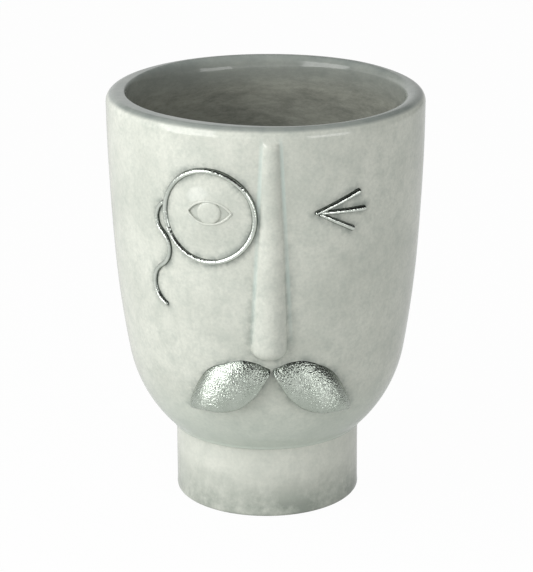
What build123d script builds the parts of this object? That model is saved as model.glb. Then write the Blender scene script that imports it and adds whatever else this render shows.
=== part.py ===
"""Head planter: a thick glazed pot on a ring foot, with a winking face applied to its front in low relief.

Millimetres, +Z up. The origin is under the centre of the foot, and the face looks along -Y.
Every angle round the pot is counted from the front, positive towards +X.
"""

import os
from math import asin, copysign, cos, radians, sin, sqrt

from build123d import *

# Pot: outside, from the lip down to the foot
pot_height = 175.0
rim_radius = 65.9
cheek_inset = 2.5
cheek_lift = 76.5
jaw_inset = 7.6
jaw_lift = 34.1
foot_radius = 38.9
foot_height = 30.9
bowl_overhang = 0.8

# Pot: wall, floor and lip
wall = 8.2
floor_thickness = 9.0
lip_outer_round = 4.2
lip_inner_round = 3.8
inner_corner_round = 10.0

# Ring foot, and the spigot under the bowl that centres it
foot_wall = 8.6
foot_edge_round = 1.4
spigot_depth = 3.0
spigot_clearance = 0.3

# Drain hole and its rubber plug
drain_radius = 8.0
plug_clearance = 0.08
plug_flange_radius = 13.0
plug_flange_thickness = 2.6
plug_tail = 5.0
plug_wall = 2.4
plug_grip_radius = 4.2
plug_grip_height = 7.0
plug_edge_round = 1.0

# Nose: a ridge that widens and stands out further towards its tip
nose_lip_gap = 4.4
nose_moustache_gap = 0.6
nose_top_half_width = 4.2
nose_bottom_half_width = 7.6
nose_top_rise = 1.8
nose_bottom_rise = 7.2
nose_tip_round = 3.4
nose_bridge_length = 5.0
nose_bridge_rise = 0.3

# Monocle: the lens, the ring round it and the cord that hangs from it
monocle_lip_gap = 16.9
monocle_nose_gap = 0.2
ring_radius = 18.8
ring_width = 2.3
ring_rise = 1.7
lens_rise = 2.4
lens_edge = 0.5
cord_width = 1.7
cord_rise = 1.3
cord_start_angle = 168.0
cord_start_heading = -68.0
cord_drop = 44.0
cord_knot_shares = ((-0.05, -0.298), (-0.068, -0.621), (-0.043, -1.0))

# Open eye behind the lens
eye_shift = 1.1
eye_lift = 2.2
eye_half_width = 9.0
eye_half_height = 4.7
eye_depth = 0.7
lid_width = 1.0
lid_rise = 0.45
iris_radius = 4.9
iris_rise = 0.35
iris_clearance = 0.1

# Winking eye: three strokes that meet at a point
wink_offset = 28.0
wink_lift = 1.6
wink_point_offset = -9.8
lash_point_width = 1.0
lash_tip_width = 2.0
lash_rise = 1.4
lash_gap = 3.6
lash_upper_length = 19.3
lash_upper_angle = 20.2
lash_middle_length = 20.8
lash_middle_angle = -2.0
lash_lower_length = 17.5
lash_lower_angle = -27.4

# Moustache: two pillows, each lofted from the parting at the front to its tip
moustache_span = 36.1
moustache_lift = 21.3
moustache_height = 25.2
moustache_rise = 6.6
moustache_gap = 0.4
moustache_parting_share = 0.86
moustache_tip_share = 0.04
# Per section: place along the span, lower edge and upper edge up the height, and rise
moustache_section_shares = (
    (0.05, 0.58, 0.90, 0.34),
    (0.16, 0.28, 0.96, 0.68),
    (0.32, 0.09, 1.00, 0.92),
    (0.52, 0.01, 0.95, 1.00),
    (0.72, 0.00, 0.75, 0.88),
    (0.88, 0.01, 0.42, 0.58),
)

# How deep applied pieces reach into the pot before they are trimmed to its skin
bite = 0.6
# How rounded a bead is: its edge round as a share of the most that fits
bead_round_share = 0.8

# Heights that follow from the sizes above
monocle_height = pot_height - monocle_lip_gap - ring_width / 2 - ring_radius
wink_height = monocle_height + wink_lift
moustache_low = foot_height + moustache_lift
moustache_high = moustache_low + moustache_height
nose_top = pot_height - nose_lip_gap
nose_bottom = moustache_high + nose_moustache_gap


def side_arcs(gap=0.0):
    """The pot's side from lip to foot: three tangent arcs, as (radius, height), moved out by gap."""
    cheek = (rim_radius - cheek_inset, foot_height + cheek_lift)
    jaw = (rim_radius - jaw_inset, foot_height + jaw_lift)
    first = TangentArc((rim_radius, pot_height), cheek, tangent=(0, -1))
    second = TangentArc(first @ 1, jaw, tangent=first % 1)
    third = TangentArc(second @ 1, (foot_radius + bowl_overhang, foot_height), tangent=second % 1)
    moved = []
    for arc in (first, second, third):
        start, end = (arc @ at + gap * outward(arc % at) for at in (0, 1))
        moved.append(TangentArc(start, end, tangent=arc % 0))
    return moved


def outward(heading):
    """Direction out of the pot for a side line that runs downwards."""
    return Vector(-heading.Y, heading.X).normalized()


def side_at(height):
    """The skin's radius at a height, and how much its outward normal leans up, in radians."""
    for arc in side_arcs():
        if (arc @ 1).Y <= height <= (arc @ 0).Y:
            centre = arc.arc_center
            across = sqrt(arc.radius**2 - (height - centre.Y) ** 2)
            bulge = copysign(1, (arc @ 0.5).X - centre.X)
            return centre.X + bulge * across, asin(bulge * (height - centre.Y) / arc.radius)
    raise ValueError(f"no side at height {height}")


def spin(section):
    """A section drawn in the (radius, height) plane, turned round the pot's axis."""
    return revolve(Plane.XZ * section, Axis.Z)


def head_section():
    """Half section of everything inside the pot's skin, from the foot's top to the lip."""
    arcs = side_arcs()
    edges = [
        Line((0, pot_height), (0, foot_height)),
        Line((0, foot_height), arcs[-1] @ 1),
        *arcs,
        Line(arcs[0] @ 0, (0, pot_height)),
    ]
    return make_face(edges)


def cavity_section():
    """Half section of the planting space, with its side parallel to the skin."""
    arcs = side_arcs(-wall)
    end = arcs[-1] @ 1
    # The side runs on along its tangent, so that the floor meets it at any thickness
    below = end + wall * (arcs[-1] % 1)
    edges = [
        Line((0, pot_height), (0, below.Y)),
        Line((0, below.Y), below),
        Line(below, end),
        *arcs,
        Line(arcs[0] @ 0, (0, pot_height)),
    ]
    floor_top = foot_height + floor_thickness
    above_floor = Pos(0, floor_top) * Rectangle(rim_radius, pot_height, align=(Align.MIN, Align.MIN))
    return make_face(edges) & above_floor


def at_point(section, x, y):
    """The corner of a section nearest to a point."""
    return section.vertices().sort_by_distance((x, y, 0))[0]


def bowl():
    """Head-shaped pot with a rounded lip, a flat floor, a drain hole and the spigot that the foot takes."""
    section = head_section() - cavity_section()
    section = fillet(at_point(section, rim_radius, pot_height), lip_outer_round)
    section = fillet(at_point(section, rim_radius - wall, pot_height), lip_inner_round)
    section = fillet(at_point(section, foot_radius, foot_height + floor_thickness), inner_corner_round)
    spigot_radius = foot_radius - foot_wall - spigot_clearance
    section += Pos(0, foot_height) * Rectangle(spigot_radius, spigot_depth, align=(Align.MIN, Align.MAX))
    section -= Rectangle(drain_radius, pot_height, align=(Align.MIN, Align.MIN))
    return spin(section)


def pedestal_foot():
    """Ring foot, open underneath, with its standing edges rounded over."""
    inner_radius = foot_radius - foot_wall
    section = Pos(inner_radius, 0) * Rectangle(foot_wall, foot_height, align=(Align.MIN, Align.MIN))
    section = fillet([v for v in section.vertices() if v.Y < foot_edge_round], foot_edge_round)
    return spin(section)


def drain_plug():
    """Rubber plug: a flange on the floor, a hollow shank through the drain hole and a finger grip on top."""
    floor_top = foot_height + floor_thickness
    shank_radius = drain_radius - plug_clearance
    shank_bottom = foot_height - spigot_depth - plug_tail
    flange_top = floor_top + plug_flange_thickness
    corner = (Align.MIN, Align.MIN)
    flange = Pos(0, floor_top) * Rectangle(plug_flange_radius, plug_flange_thickness, align=corner)
    flange = fillet(at_point(flange, plug_flange_radius, flange_top), plug_edge_round)
    shank = Pos(0, shank_bottom) * Rectangle(shank_radius, floor_top - shank_bottom, align=corner)
    shank = fillet(at_point(shank, shank_radius, shank_bottom), plug_edge_round)
    grip = Pos(0, flange_top) * Rectangle(plug_grip_radius, plug_grip_height, align=corner)
    grip = fillet(at_point(grip, plug_grip_radius, flange_top + plug_grip_height), plug_edge_round)
    hollow_height = floor_top - shank_bottom - plug_wall
    hollow = Pos(0, shank_bottom) * Rectangle(shank_radius - plug_wall, hollow_height, align=corner)
    return spin(flange + shank + grip - hollow)


def skin_plane(offset, height):
    """Plane on the skin, offset round the pot from the front: x runs round the pot, y up its side, z out."""
    radius, lean = side_at(height)
    turn = offset / radius
    out = Vector(sin(turn) * cos(lean), -cos(turn) * cos(lean), sin(lean))
    place = Vector(radius * sin(turn), -radius * cos(turn), height)
    return Plane(place, x_dir=(cos(turn), sin(turn), 0), z_dir=out)


def through(plane, outline):
    """A flat outline on a skin plane, pushed both ways through the wall."""
    return extrude(plane * outline, amount=wall, both=True)


def jacket(rise):
    """A coat of even thickness all over the pot's side."""
    inner, outer = side_arcs(), side_arcs(rise)
    edges = [
        *inner,
        Line(inner[-1] @ 1, outer[-1] @ 1),
        *outer,
        Line(outer[0] @ 0, inner[0] @ 0),
    ]
    return spin(make_face(edges))


def standing_out(point):
    """How far a point stands out from the skin at its height."""
    return Vector(point.X, point.Y).length - side_at(point.Z)[0]


def bead(plane, outline, width, rise):
    """A rounded bead on the pot's skin, with this outline and rise."""
    raised = through(plane, outline) & jacket(rise)
    outer_face = max(raised.faces(), key=lambda face: standing_out(face.center(CenterOf.MASS)))
    return fillet(outer_face.edges(), bead_round_share * min(rise, width / 2))


def nose_half_width(height):
    """The nose widens evenly from its top to its tip."""
    share = (nose_top - height) / (nose_top - nose_bottom)
    return nose_top_half_width + share * (nose_bottom_half_width - nose_top_half_width)


def monocle_plane():
    """Plane on the skin at the monocle's centre, as far from the nose as the ring needs."""
    ring_reach = ring_radius + ring_width / 2
    return skin_plane(-nose_half_width(monocle_height) - monocle_nose_gap - ring_reach, monocle_height)


def monocle_ring():
    outline = Circle(ring_radius + ring_width / 2) - Circle(ring_radius - ring_width / 2)
    return bead(monocle_plane(), outline, ring_width, ring_rise)


def monocle_cord(ring):
    """Clay cord that leaves the ring and hangs in three bends, trimmed where it meets the ring."""
    turn = radians(cord_start_angle)
    point = Vector(ring_radius * cos(turn), ring_radius * sin(turn))
    start = point
    heading = Vector(sin(radians(cord_start_heading)), -cos(radians(cord_start_heading)))
    bends = []
    for across, down in cord_knot_shares:
        knot = start + cord_drop * Vector(across, down)
        bend = TangentArc(point, knot, tangent=heading)
        bends.append(bend)
        point, heading = bend @ 1, bend % 1
    outline = SlotArc(Wire(bends), cord_width)
    return bead(monocle_plane(), outline, cord_width, cord_rise) - ring


def lens_form(grow=0.0):
    """Everything behind the lens's shallow dome, or behind a dome parallel to it, back into the wall."""
    lens_radius = ring_radius - ring_width / 2
    skin_radius = side_at(monocle_height)[0]
    skin_sag = skin_radius - sqrt(skin_radius**2 - lens_radius**2)
    upright_sag = lens_rise - lens_edge
    round_sag = skin_sag + upright_sag
    round_radius = (lens_radius**2 + round_sag**2) / (2 * round_sag)
    upright_radius = (lens_radius**2 + upright_sag**2) / (2 * upright_sag) + grow
    # Side view of the dome: x out of the wall from the axis that it is turned about, y up the wall
    half_height = ring_radius
    apex = round_radius + grow
    edge = apex - upright_radius + sqrt(upright_radius**2 - half_height**2)
    section = make_face(
        [
            Line((0, -half_height), (edge, -half_height)),
            ThreePointArc((edge, -half_height), (apex, 0), (edge, half_height)),
            Line((edge, half_height), (0, half_height)),
            Line((0, half_height), (0, -half_height)),
        ]
    )
    plane = monocle_plane()
    axis_point = plane.origin + plane.z_dir * (lens_rise - round_radius)
    # The turn starts at the back, so that its seam stays clear of the lens
    section_plane = Plane(axis_point, x_dir=-plane.z_dir, z_dir=plane.x_dir)
    return revolve(section_plane * section, Axis(axis_point, plane.y_dir))


def eye_outline(grow=0.0):
    """Almond shape between two arcs, drawn about the eye's centre and grown all round."""
    width, height = eye_half_width + grow, eye_half_height + grow
    upper = ThreePointArc((-width, 0), (0, height), (width, 0))
    lower = ThreePointArc((width, 0), (0, -height), (-width, 0))
    return Pos(eye_shift, eye_lift) * make_face([upper, lower])


def eye_pocket():
    """The almond hollow cut into the lens, with a floor parallel to the dome."""
    return through(monocle_plane(), eye_outline()) - lens_form(-eye_depth)


def monocle_lens(head):
    """Disc that fills the ring, domed in front, seated on the skin and hollowed for the eye."""
    # A quarter turn puts the disc's seam at its top, where the dome is cut cleanly
    disc = through(monocle_plane(), Rot(0, 0, 90) * Circle(ring_radius - ring_width / 2))
    return (disc & lens_form()) - head - eye_pocket()


def eyelid(side):
    """One lid, a thin strip along the upper (1) or lower (-1) edge of the eye, standing on the lens."""
    strip = eye_outline(lid_width) - eye_outline()
    reach = eye_half_width + lid_width
    half_plane = Rectangle(2 * reach, reach, align=(Align.CENTER, Align.MIN if side > 0 else Align.MAX))
    outline = strip & (Pos(eye_shift, eye_lift) * half_plane)
    return (through(monocle_plane(), outline) & lens_form(lid_rise)) - lens_form()


def iris():
    """Round button on the floor of the eye's hollow, cut off where the lids cover it."""
    outline = (Pos(eye_shift, eye_lift) * Circle(iris_radius)) & eye_outline(-iris_clearance)
    return (through(monocle_plane(), outline) & lens_form(iris_rise)) - lens_form(-eye_depth)


def lash(start, length, angle):
    """One stroke of the winking eye, which widens from the point where the strokes meet to its tip."""
    heading = Vector(cos(radians(angle)), sin(radians(angle)))
    point = Pos(start * heading) * Circle(lash_point_width / 2)
    tip = Pos(length * heading) * Circle(lash_tip_width / 2)
    outline = Pos(wink_point_offset, 0) * make_hull([*point.edges(), *tip.edges()])
    return bead(skin_plane(wink_offset, wink_height), outline, lash_point_width, lash_rise)


def nose_section(height, reach):
    """Half-round section of the nose at a height, reaching this far from the pot's axis."""
    half_width = nose_half_width(height)
    root = -sqrt((side_at(height)[0] - bite) ** 2 - half_width**2)
    front = ThreePointArc((-half_width, root), (0, -reach), (half_width, root))
    back = Line(front @ 1, front @ 0)
    return Plane.XY.offset(height) * make_face([front, back])


def nose_ridge(head):
    """Ridge that rises out of the brow and runs straight down to a blunt tip, seated on the skin."""
    brow = nose_top - nose_bridge_length
    bridge = [
        nose_section(nose_top, side_at(nose_top)[0] + nose_bridge_rise),
        nose_section(brow, side_at(brow)[0] + nose_top_rise),
    ]
    tip = nose_section(nose_bottom, side_at(nose_bottom)[0] + nose_bottom_rise)
    ridge = loft([bridge[1], tip])
    tip_edge = ridge.edges().filter_by(GeomType.LINE, reverse=True).sort_by(Axis.Z)[0]
    ridge = fillet(tip_edge, nose_tip_round)
    return (ridge + loft(bridge)) - head


def moustache_half(head):
    """The half towards +X: a pillow lofted through upright sections, with both ends drawn to a point."""
    middle_radius = side_at(moustache_low + moustache_height / 2)[0]

    def on_skin(share, up_share, rise):
        up = moustache_low + up_share * moustache_height
        radius, lean = side_at(up)
        turn = (moustache_gap / 2 + share * moustache_span) / middle_radius
        reach = radius + rise * cos(lean)
        return Vector(reach * sin(turn), -reach * cos(turn), up + rise * sin(lean))

    sections = []
    for share, low, high, rise in moustache_section_shares:
        foot, top = on_skin(share, low, -bite), on_skin(share, high, -bite)
        crown = on_skin(share, (low + high) / 2, rise * moustache_rise)
        front = ThreePointArc(foot, crown, top)
        sections.append(make_face([front, Line(top, foot)]))
    parting = Vertex(on_skin(0, moustache_parting_share, -bite))
    tip = Vertex(on_skin(1, moustache_tip_share, -bite))
    return loft([parting, *sections, tip]) - head


def planter():
    """Every piece of the planter by name."""
    head = spin(head_section())
    ring = monocle_ring()
    right_half = moustache_half(head)
    return {
        "bowl": bowl(),
        "pedestal_foot": pedestal_foot(),
        "drain_plug": drain_plug(),
        "nose_ridge": nose_ridge(head),
        "monocle_ring": ring,
        "monocle_cord": monocle_cord(ring),
        "monocle_lens": monocle_lens(head),
        "upper_eyelid": eyelid(1),
        "lower_eyelid": eyelid(-1),
        "iris": iris(),
        "wink_lash_upper": lash(0, lash_upper_length, lash_upper_angle),
        "wink_lash_middle": lash(lash_gap, lash_middle_length, lash_middle_angle),
        "wink_lash_lower": lash(lash_gap, lash_lower_length, lash_lower_angle),
        "moustache_right": right_half,
        "moustache_left": mirror(right_half, Plane.YZ),
    }


if __name__ == "__main__":
    os.makedirs("parts", exist_ok=True)
    for name, piece in planter().items():
        export_step(piece, f"parts/{name}.step")
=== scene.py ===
# %% [markdown]
# # A winking head planter
# The real planter is slip-cast stoneware: a thick bowl on a ring foot, glazed in a cloudy
# sage grey. A face stands out of its front in low relief, and parts of that face are
# painted with silver lustre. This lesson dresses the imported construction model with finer
# meshes and with glaze, lustre and rubber, all in the model's own frame.

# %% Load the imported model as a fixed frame
import math

import bmesh
import bpy
from bmesh.types import BMEdge, BMVert
from mathutils import Matrix, Quaternion, Vector, kdtree, noise


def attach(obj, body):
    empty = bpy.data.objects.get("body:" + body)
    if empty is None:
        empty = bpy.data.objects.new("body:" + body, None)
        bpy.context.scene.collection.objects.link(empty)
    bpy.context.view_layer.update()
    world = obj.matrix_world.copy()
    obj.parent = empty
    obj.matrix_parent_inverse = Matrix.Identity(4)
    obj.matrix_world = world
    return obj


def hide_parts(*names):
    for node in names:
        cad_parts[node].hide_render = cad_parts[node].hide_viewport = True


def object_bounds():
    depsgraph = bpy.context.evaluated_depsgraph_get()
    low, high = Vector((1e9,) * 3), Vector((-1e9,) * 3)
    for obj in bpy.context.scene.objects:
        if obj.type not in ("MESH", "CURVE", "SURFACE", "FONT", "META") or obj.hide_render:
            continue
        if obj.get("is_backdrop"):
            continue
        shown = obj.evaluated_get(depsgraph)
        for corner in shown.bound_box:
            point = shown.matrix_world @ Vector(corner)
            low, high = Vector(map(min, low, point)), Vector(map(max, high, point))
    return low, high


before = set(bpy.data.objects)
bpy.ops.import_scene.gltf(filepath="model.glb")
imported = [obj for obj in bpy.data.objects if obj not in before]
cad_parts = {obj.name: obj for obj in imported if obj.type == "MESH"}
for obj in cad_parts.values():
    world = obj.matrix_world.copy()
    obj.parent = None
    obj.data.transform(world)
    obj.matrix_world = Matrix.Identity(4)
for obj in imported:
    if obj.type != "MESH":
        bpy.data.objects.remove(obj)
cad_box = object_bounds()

scene = bpy.context.scene
print("nodes:", ", ".join(sorted(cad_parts)))

# %% [markdown]
# ## Colours and nodes
# Glaze and paint are judged on a screen, so every colour is written as a hex value, and one
# function turns it into the linear light that shaders use.
# Node trees get long, so one small function adds a node, sets it up and links it.

# %% Helpers for materials
def linear(hex_colour):
    """An sRGB hex colour as linear RGBA."""
    rgba = []
    for at in (1, 3, 5):
        value = int(hex_colour[at:at + 2], 16) / 255
        rgba.append(value / 12.92 if value <= 0.04045 else ((value + 0.055) / 1.055) ** 2.4)
    return (*rgba, 1.0)


def add(tree, kind, inputs=None, **settings):
    """Adds one shader node, sets its properties, and gives its inputs values, sockets or whole nodes."""
    node = tree.nodes.new("ShaderNode" + kind)
    for name, value in settings.items():
        setattr(node, name, value)
    for key, value in (inputs or {}).items():
        # A node stands for its first output in use
        if isinstance(value, bpy.types.Node):
            value = next(socket for socket in value.outputs if socket.enabled)
        if isinstance(value, bpy.types.NodeSocket):
            tree.links.new(value, node.inputs[key])
        else:
            node.inputs[key].default_value = value
    return node


def per_metre(size_mm):
    """Scale of a pattern whose features are this many millimetres across."""
    return 1000 / size_mm


def new_material(name):
    """An empty material and its node tree."""
    material = bpy.data.materials.new(name)
    material.use_nodes = True
    material.node_tree.nodes.clear()
    return material, material.node_tree


# Inputs of the Mix node: factor, two colours, two plain numbers
MIX_FACTOR, MIX_A, MIX_B = 0, 6, 7
NUMBER_A, NUMBER_B = 2, 3
print("grey card:", [round(value, 3) for value in linear("#808080")])

# %% [markdown]
# ## Sage glaze
# The body is stoneware under a glossy, slightly milky glaze. The glaze ran while it was
# molten, so it is cloudy over centimetres, carries fine iron specks, turns celadon where it
# pooled in the creases beside the nose, and is thin and stained low on the foot. On the lip it
# is thin and darkened further with painted reflection of the dark room above; inside it went on
# thinner over grey clay, which painted shade darkens further down. One material reads Object
# coordinates, so its clouds run on from the bowl to the nose and the foot without a seam.
# Each effect is a coat: a colour, and shares whose product is how much of it there is.

# %% Clouds, blotches, specks and wash in the glaze
sage_glaze, tree = new_material("sage_glaze_on_stoneware")
place = add(tree, "TexCoord").outputs["Object"]
across, depth, height = add(tree, "SeparateXYZ", {0: place}).outputs
wash_and_contact_shade, shade_zone, inner_wall = (add(tree, "Attribute", attribute_name=name).outputs["Fac"]
                                     for name in ("wash_and_contact_shade", "shade_zone", "inner_wall"))
coats = []

clouds = add(tree, "TexNoise", {"Vector": place, "Scale": per_metre(30), "Detail": 4.0})
cloud_share = add(tree, "MapRange", {"Value": clouds, "From Min": 0.36, "From Max": 0.64})
glaze = add(tree, "Mix", {MIX_FACTOR: cloud_share, MIX_A: linear("#cbcec4"), MIX_B: linear("#dadcd2")},
            data_type="RGBA")
blotches = add(tree, "TexNoise", {"Vector": place, "Scale": per_metre(6), "Detail": 8.0, "Roughness": 0.68})
blotch_share = add(tree, "MapRange", {"Value": blotches, "From Min": 0.44, "From Max": 0.68, "To Max": 0.5})
coats.append((linear("#b3bab1"), blotch_share))
specks = add(tree, "TexNoise", {"Vector": place, "Scale": per_metre(1.3), "Detail": 3.0, "Roughness": 0.6})
speck_share = add(tree, "MapRange", {"Value": specks, "From Min": 0.28, "From Max": 0.72, "To Max": 0.26})
coats.append((linear("#939a93"), speck_share))

# A grey wash, wiped off but left beside everything that stands out, together with painted contact shade there
ragged = add(tree, "MapRange", {"Value": blotches, "From Min": 0.40, "From Max": 0.60, "To Min": 0.2})
coats.append((linear("#7f8781"), wash_and_contact_shade, ragged))
print("coats so far:", len(coats))

# %% Celadon where the glaze pooled, and stain where it ran thin
# In metres: the hem, the ends of the creases beside the nose, and the front of the face
HEM_Z = 0.0308
CREASE_LOW_Z, CREASE_HIGH_Z, CREASE_LOW_X, CREASE_HIGH_X = 0.0780, 0.1706, 0.0082, 0.0037
FACE_Y = -0.04

# A band that follows the nose's edge, which widens downwards
edge = add(tree, "MapRange", {
    "Value": height, "From Min": CREASE_LOW_Z, "From Max": CREASE_HIGH_Z,
    "To Min": CREASE_LOW_X, "To Max": CREASE_HIGH_X})
side = add(tree, "Math", {0: across}, operation="ABSOLUTE")
off_edge = add(tree, "Math", {0: side, 1: edge}, operation="SUBTRACT")
near_edge = add(tree, "Math", {0: off_edge}, operation="ABSOLUTE")
crease = add(tree, "MapRange", {
    "Value": near_edge, "From Min": 0.0002, "From Max": 0.0012,
    "To Min": 1.0, "To Max": 0.0}, interpolation_type="SMOOTHSTEP")
front = add(tree, "Math", {0: depth, 1: FACE_Y}, operation="LESS_THAN")
beside = add(tree, "MapRange", {"Value": height, "From Min": 0.083, "From Max": 0.10})
below_lip = add(tree, "MapRange", {"Value": height, "From Min": 0.172, "From Max": 0.166})
thinned = add(tree, "MapRange", {
    "Value": clouds, "From Min": 0.35, "From Max": 0.65, "To Min": 0.6, "To Max": 0.2})
coats.append((linear("#cbdcd6"), crease, front, beside, below_lip, thinned))

# Celadon again where the glaze gathered above the hem, but not on the foot
gathered = add(tree, "MapRange", {"Value": height, "From Min": 0.062, "From Max": 0.034, "To Max": 0.5})
on_bowl = add(tree, "Math", {0: height, 1: HEM_Z}, operation="GREATER_THAN")
coats.append((linear("#c0cdc2"), gathered, on_bowl))

# Painted light on the foot lifts the shade under the bowl's overhang, and its glaze is a little creamier
CREAM_AND_PAINTED_LIGHT = 0.3
on_foot = add(tree, "Math", {0: height, 1: HEM_Z}, operation="LESS_THAN")
coats.append((linear("#e0e1d8"), on_foot, CREAM_AND_PAINTED_LIGHT))

# Stain where the glaze runs thin, low on the foot
low = add(tree, "MapRange", {"Value": height, "From Min": 0.021, "From Max": 0.004})
drift = add(tree, "TexNoise", {"Vector": place, "Scale": per_metre(14), "Detail": 8.0, "Roughness": 0.7})
stain = add(tree, "MapRange", {
    "Value": drift, "From Min": 0.36, "From Max": 0.6, "To Min": 0.2, "To Max": 0.95})
coats.append((linear("#8f968d"), low, stain))
print("coats so far:", len(coats))

# %% Lip, inside and gloss of the glaze
# Thin glaze on the lip, darkened with painted reflection of the dark room above, and grey clay
# showing through inside, streaked round by the wheel; painted shade deepens the inside downwards
thin_glaze_and_shade = add(tree, "MapRange", {"Value": drift, "From Min": 0.35, "From Max": 0.65, "To Min": 0.75})
coats.append((linear("#858c88"), shade_zone, thin_glaze_and_shade))
streak_place = add(tree, "Mapping", {"Vector": place, "Scale": (0.3, 0.3, 1.0)})
streaks = add(tree, "TexNoise", {
    "Vector": streak_place, "Scale": per_metre(5), "Detail": 8.0, "Roughness": 0.85})
streak_share = add(tree, "MapRange", {"Value": streaks, "From Min": 0.35, "From Max": 0.65})
inside = add(tree, "Mix", {MIX_FACTOR: streak_share, MIX_A: linear("#7c7e76"), MIX_B: linear("#a4a69b")},
             data_type="RGBA")
coats.append((inside, inner_wall))
for colour, share, *others in coats:
    for other in others:
        share = add(tree, "Math", {0: share, 1: other}, operation="MULTIPLY")
    glaze = add(tree, "Mix", {MIX_FACTOR: share, MIX_A: glaze, MIX_B: colour}, data_type="RGBA")

# Fired glaze is glossy with a slow wave in it, and a little duller in the blotches
gloss = add(tree, "MapRange", {
    "Value": blotches, "From Min": 0.3, "From Max": 0.7, "To Min": 0.07, "To Max": 0.13})
wave = add(tree, "TexNoise", {"Vector": place, "Scale": per_metre(9)})
bump = add(tree, "Bump", {"Height": wave, "Strength": 0.35, "Distance": 0.0003})
shader = add(tree, "BsdfPrincipled", {"Base Color": glaze, "Roughness": gloss, "IOR": 1.47, "Normal": bump})
add(tree, "OutputMaterial", {"Surface": shader})
print(sage_glaze.name, len(tree.nodes), "nodes")

# %% [markdown]
# ## Silver lustre
# Lustre is a film of metal fired onto the glaze from a brushed liquid. It mirrors the room,
# but it follows every grain of what is under it, so its reflections break up: white from
# the soft boxes, black from the dark ceiling, grey-green from the table.

# %% Silver lustre, brushed on and fired
silver_lustre, tree = new_material("silver_lustre_fired_on_glaze")
place = add(tree, "TexCoord").outputs["Object"]
film = add(tree, "TexNoise", {"Vector": place, "Scale": per_metre(6), "Detail": 5.0})
film_share = add(tree, "MapRange", {"Value": film, "From Min": 0.35, "From Max": 0.65})
thin_film, thick_film = (
    add(tree, "Mix", {MIX_FACTOR: film_share, MIX_A: linear(dark), MIX_B: linear(pale)}, data_type="RGBA")
    for dark, pale in (("#b2bab0", "#c0c7be"), ("#cbd1c9", "#dde2db")))
# Thin beads took a thicker coat than broad areas, which were brushed thinly and fired satin
satin = add(tree, "Attribute", attribute_name="satin_zone").outputs["Fac"]
silver = add(tree, "Mix", {MIX_FACTOR: satin, MIX_A: thick_film, MIX_B: thin_film}, data_type="RGBA")
# The film is dark at its edges: partly thin film over the dark wash, partly painted contact shade where a
# bead meets the wall
film_edge_and_shade = add(tree, "Attribute", attribute_name="film_edge_and_shade").outputs["Fac"]
silver = add(tree, "Mix", {MIX_FACTOR: film_edge_and_shade, MIX_A: silver, MIX_B: linear("#555c58")}, data_type="RGBA")
# The grain is about 0.3 mm on the real film; it is drawn at 0.65 mm so that it shows
grain = add(tree, "TexNoise", {"Vector": place, "Scale": per_metre(0.65), "Detail": 1.0})
crinkle = add(tree, "TexNoise", {"Vector": place, "Scale": per_metre(1.6), "Detail": 3.0})
crinkle_bump = add(tree, "Bump", {"Height": crinkle, "Strength": 0.6, "Distance": 0.0002})
coarseness = add(tree, "Math", {0: satin, 1: 0.55, 2: 0.45}, operation="MULTIPLY_ADD")
grain_bump = add(tree, "Bump", {
    "Height": grain, "Strength": coarseness, "Distance": 0.00034, "Normal": crinkle_bump})
gloss = add(tree, "MapRange", {
    "Value": film, "From Min": 0.3, "From Max": 0.7, "To Min": 0.12, "To Max": 0.20})
gloss = add(tree, "Math", {0: satin, 1: 0.09, 2: gloss}, operation="MULTIPLY_ADD")
shader = add(tree, "BsdfPrincipled", {
    "Base Color": silver, "Metallic": 1.0, "Roughness": gloss, "Normal": grain_bump})
add(tree, "OutputMaterial", {"Surface": shader})
print(silver_lustre.name, len(tree.nodes), "nodes")

# %% [markdown]
# ## Plug rubber
# The drain plug is moulded rubber: dark, matt, with a faint bloom that dust and water leave.

# %% Moulded rubber with a dusty bloom
plug_rubber, tree = new_material("moulded_grey_rubber")
place = add(tree, "TexCoord").outputs["Object"]
bloom = add(tree, "TexNoise", {"Vector": place, "Scale": per_metre(4), "Detail": 5.0})
rubber = add(tree, "Mix", {MIX_FACTOR: bloom, MIX_A: linear("#3a3c3b"), MIX_B: linear("#565956")},
             data_type="RGBA")
pores = add(tree, "TexNoise", {"Vector": place, "Scale": per_metre(0.5)})
bump = add(tree, "Bump", {"Height": pores, "Strength": 0.2, "Distance": 0.00008})
shader = add(tree, "BsdfPrincipled", {"Base Color": rubber, "Roughness": 0.62, "Normal": bump})
add(tree, "OutputMaterial", {"Surface": shader})
print(plug_rubber.name, len(tree.nodes), "nodes")

# %% [markdown]
# ## The skin of the head
# Everything on the face sits on the bowl's side, which is three tangent arcs turned round
# the axis: nearly upright under the lip, rounder at the cheeks, and drawn in at the jaw.
# The script needs that curve twice, to spin the bowl and to lay the relief on it, so it is
# worked out once here. All shapes are drawn in millimetres and become metres at the end.

# %% The side as three tangent arcs
SIDE_POINTS = ((65.9, 175.0), (63.4, 107.4), (58.3, 65.0), (39.7, 30.9))
LIP, CHEEK, JAW, HEM = (Vector(point) for point in SIDE_POINTS)


def tangent_arc(start, heading, end):
    """Centre and radius of the arc that leaves start along heading, and its heading at the end."""
    inward = Vector((heading.y, -heading.x))
    chord = end - start
    radius = chord.length_squared / (2 * chord.dot(inward))
    along = chord.normalized()
    return start + radius * inward, radius, 2 * heading.dot(along) * along - heading


skin_arcs = []
heading = Vector((0, -1))
for start, end in ((LIP, CHEEK), (CHEEK, JAW), (JAW, HEM)):
    centre, radius, heading = tangent_arc(start, heading, end)
    skin_arcs.append((centre, radius, start, end))
    print(f"arc of {radius:.1f} mm from z {start.y:.1f} to {end.y:.1f}")


def skin(height):
    """Radius of the skin at a height, and its outward normal as (out, up)."""
    for centre, radius, _, end in skin_arcs:
        if height >= end.y:
            break
    rise = (height - centre.y) / radius
    out = math.sqrt(max(0.0, 1 - rise * rise))
    return centre.x + radius * out, Vector((out, rise))


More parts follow.
